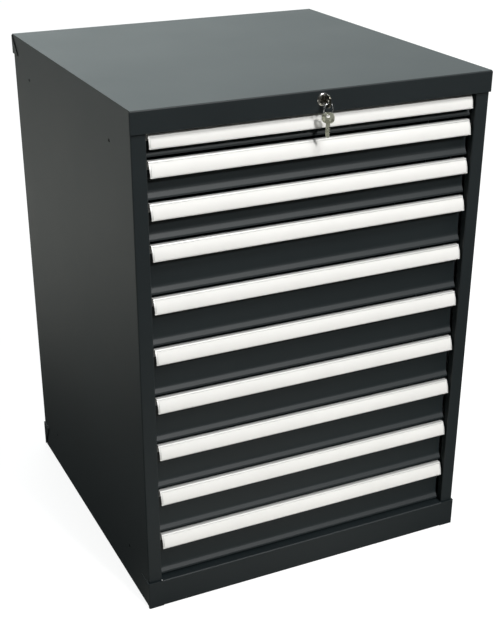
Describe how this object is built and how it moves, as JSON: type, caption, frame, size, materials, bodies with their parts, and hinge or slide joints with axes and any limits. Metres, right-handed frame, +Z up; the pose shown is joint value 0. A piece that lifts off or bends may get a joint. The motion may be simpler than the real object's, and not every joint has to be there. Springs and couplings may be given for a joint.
{
  "type": "drawer cabinet",
  "caption": "Free-standing steel drawer cabinet with full-extension drawers, full-width grip profiles with label strips, a plinth and a central lock that works a bar behind the drawers.",
  "frame": {"origin": "on the floor, in the middle of the four anchor holes of the plinth", "axes": "+X to the right seen from the front, -Y out of the drawer fronts, +Z up"},
  "size_m": [0.715, 0.7473, 1],
  "materials": {
    "housing_paint": "fine-textured anthracite powder coat",
    "drawer_paint": "fine-textured anthracite powder coat",
    "handle_aluminium": "satin anodised",
    "label_white": "white card under a clear cover",
    "zinc_plated_steel": "bright zinc plated",
    "chrome": "polished chrome",
    "brass_plug": "nickel plated",
    "black_plastic": "moulded, matt",
    "key_metal": "nickel silver, lightly handled",
    "ring_steel": "nickel plated spring steel"
  },
  "bodies": {
    "cabinet": {"top_cover": "housing_paint", "left_side_panel": "housing_paint", "right_side_panel": "housing_paint", "back_panel": "housing_paint", "floor_panel": "housing_paint", "plinth_front": "housing_paint", "plinth_rear": "housing_paint", "slotted_posts": "zinc_plated_steel", "left_rails": "zinc_plated_steel", "right_rails": "zinc_plated_steel", "lock_housing": "chrome", "lock_shaft_bracket": "zinc_plated_steel", "lock_bar_guides": "black_plastic"},
    "drawer_01": {"drawer_01_tray": "drawer_paint", "drawer_01_handle": "handle_aluminium", "drawer_01_label_strip": "label_white"},
    "slides_01": {"drawer_01_middle_slides": "zinc_plated_steel"},
    "drawer_02": {"drawer_02_tray": "drawer_paint", "drawer_02_handle": "handle_aluminium", "drawer_02_label_strip": "label_white"},
    "slides_02": {"drawer_02_middle_slides": "zinc_plated_steel"},
    "drawer_03": {"drawer_03_tray": "drawer_paint", "drawer_03_handle": "handle_aluminium", "drawer_03_label_strip": "label_white"},
    "slides_03": {"drawer_03_middle_slides": "zinc_plated_steel"},
    "drawer_04": {"drawer_04_tray": "drawer_paint", "drawer_04_handle": "handle_aluminium", "drawer_04_label_strip": "label_white"},
    "slides_04": {"drawer_04_middle_slides": "zinc_plated_steel"},
    "drawer_05": {"drawer_05_tray": "drawer_paint", "drawer_05_handle": "handle_aluminium", "drawer_05_label_strip": "label_white"},
    "slides_05": {"drawer_05_middle_slides": "zinc_plated_steel"},
    "drawer_06": {"drawer_06_tray": "drawer_paint", "drawer_06_handle": "handle_aluminium", "drawer_06_label_strip": "label_white"},
    "slides_06": {"drawer_06_middle_slides": "zinc_plated_steel"},
    "drawer_07": {"drawer_07_tray": "drawer_paint", "drawer_07_handle": "handle_aluminium", "drawer_07_label_strip": "label_white"},
    "slides_07": {"drawer_07_middle_slides": "zinc_plated_steel"},
    "drawer_08": {"drawer_08_tray": "drawer_paint", "drawer_08_handle": "handle_aluminium", "drawer_08_label_strip": "label_white"},
    "slides_08": {"drawer_08_middle_slides": "zinc_plated_steel"},
    "drawer_09": {"drawer_09_tray": "drawer_paint", "drawer_09_handle": "handle_aluminium", "drawer_09_label_strip": "label_white"},
    "slides_09": {"drawer_09_middle_slides": "zinc_plated_steel"},
    "drawer_10": {"drawer_10_tray": "drawer_paint", "drawer_10_handle": "handle_aluminium", "drawer_10_label_strip": "label_white"},
    "slides_10": {"drawer_10_middle_slides": "zinc_plated_steel"},
    "lock_turner": {"lock_plug": "brass_plug", "lock_shaft": "zinc_plated_steel", "lock_crank": "zinc_plated_steel"},
    "lock_bar": {"lock_bar": "zinc_plated_steel"},
    "key": {"key": "key_metal"},
    "split_ring": {"split_ring": "ring_steel"},
    "spare_key": {"spare_key": "key_metal"}
  },
  "joints": [
    {"name": "drawer_01_slide", "type": "slide", "parent": "cabinet", "child": "drawer_01", "axis": [0, -1, 0], "range_m": [0, 0.6]},
    {"name": "slides_01_travel", "type": "slide", "parent": "cabinet", "child": "slides_01", "axis": [0, -1, 0], "range_m": [0, 0.3]},
    {"name": "drawer_02_slide", "type": "slide", "parent": "cabinet", "child": "drawer_02", "axis": [0, -1, 0], "range_m": [0, 0.6]},
    {"name": "slides_02_travel", "type": "slide", "parent": "cabinet", "child": "slides_02", "axis": [0, -1, 0], "range_m": [0, 0.3]},
    {"name": "drawer_03_slide", "type": "slide", "parent": "cabinet", "child": "drawer_03", "axis": [0, -1, 0], "range_m": [0, 0.6]},
    {"name": "slides_03_travel", "type": "slide", "parent": "cabinet", "child": "slides_03", "axis": [0, -1, 0], "range_m": [0, 0.3]},
    {"name": "drawer_04_slide", "type": "slide", "parent": "cabinet", "child": "drawer_04", "axis": [0, -1, 0], "range_m": [0, 0.6]},
    {"name": "slides_04_travel", "type": "slide", "parent": "cabinet", "child": "slides_04", "axis": [0, -1, 0], "range_m": [0, 0.3]},
    {"name": "drawer_05_slide", "type": "slide", "parent": "cabinet", "child": "drawer_05", "axis": [0, -1, 0], "range_m": [0, 0.6]},
    {"name": "slides_05_travel", "type": "slide", "parent": "cabinet", "child": "slides_05", "axis": [0, -1, 0], "range_m": [0, 0.3]},
    {"name": "drawer_06_slide", "type": "slide", "parent": "cabinet", "child": "drawer_06", "axis": [0, -1, 0], "range_m": [0, 0.6]},
    {"name": "slides_06_travel", "type": "slide", "parent": "cabinet", "child": "slides_06", "axis": [0, -1, 0], "range_m": [0, 0.3]},
    {"name": "drawer_07_slide", "type": "slide", "parent": "cabinet", "child": "drawer_07", "axis": [0, -1, 0], "range_m": [0, 0.6]},
    {"name": "slides_07_travel", "type": "slide", "parent": "cabinet", "child": "slides_07", "axis": [0, -1, 0], "range_m": [0, 0.3]},
    {"name": "drawer_08_slide", "type": "slide", "parent": "cabinet", "child": "drawer_08", "axis": [0, -1, 0], "range_m": [0, 0.6]},
    {"name": "slides_08_travel", "type": "slide", "parent": "cabinet", "child": "slides_08", "axis": [0, -1, 0], "range_m": [0, 0.3]},
    {"name": "drawer_09_slide", "type": "slide", "parent": "cabinet", "child": "drawer_09", "axis": [0, -1, 0], "range_m": [0, 0.6]},
    {"name": "slides_09_travel", "type": "slide", "parent": "cabinet", "child": "slides_09", "axis": [0, -1, 0], "range_m": [0, 0.3]},
    {"name": "drawer_10_slide", "type": "slide", "parent": "cabinet", "child": "drawer_10", "axis": [0, -1, 0], "range_m": [0, 0.6]},
    {"name": "slides_10_travel", "type": "slide", "parent": "cabinet", "child": "slides_10", "axis": [0, -1, 0], "range_m": [0, 0.3]},
    {"name": "lock_turn", "type": "hinge", "parent": "cabinet", "child": "lock_turner", "pos_m": [0, -0.36, 0.983], "axis": [0, 1, 0], "range_deg": [0, 90]},
    {"name": "lock_bar_travel", "type": "slide", "parent": "cabinet", "child": "lock_bar", "axis": [0, 0, -1], "range_m": [0, 0.01414]},
    {"name": "key_pull", "type": "slide", "parent": "lock_turner", "child": "key", "axis": [0, -1, 0], "range_m": [0, 0.022]},
    {"name": "ring_swing", "type": "hinge", "parent": "key", "child": "split_ring", "pos_m": [0, -0.38, 0.983], "axis": [-1, 0, 0], "range_deg": [-10, 80]},
    {"name": "spare_key_swing", "type": "hinge", "parent": "split_ring", "child": "spare_key", "pos_m": [0, -0.38, 0.96], "axis": [-0.9848, -0.1736, 0], "range_deg": [-15, 60]}
  ],
  "couplings": [
    {"joint": "slides_01_travel", "follows": "drawer_01_slide", "ratio": 0.5},
    {"joint": "slides_02_travel", "follows": "drawer_02_slide", "ratio": 0.5},
    {"joint": "slides_03_travel", "follows": "drawer_03_slide", "ratio": 0.5},
    {"joint": "slides_04_travel", "follows": "drawer_04_slide", "ratio": 0.5},
    {"joint": "slides_05_travel", "follows": "drawer_05_slide", "ratio": 0.5},
    {"joint": "slides_06_travel", "follows": "drawer_06_slide", "ratio": 0.5},
    {"joint": "slides_07_travel", "follows": "drawer_07_slide", "ratio": 0.5},
    {"joint": "slides_08_travel", "follows": "drawer_08_slide", "ratio": 0.5},
    {"joint": "slides_09_travel", "follows": "drawer_09_slide", "ratio": 0.5},
    {"joint": "slides_10_travel", "follows": "drawer_10_slide", "ratio": 0.5},
    {"joint": "lock_turn", "follows": "lock_bar_travel", "rad_per_m": 111.07}
  ]
}
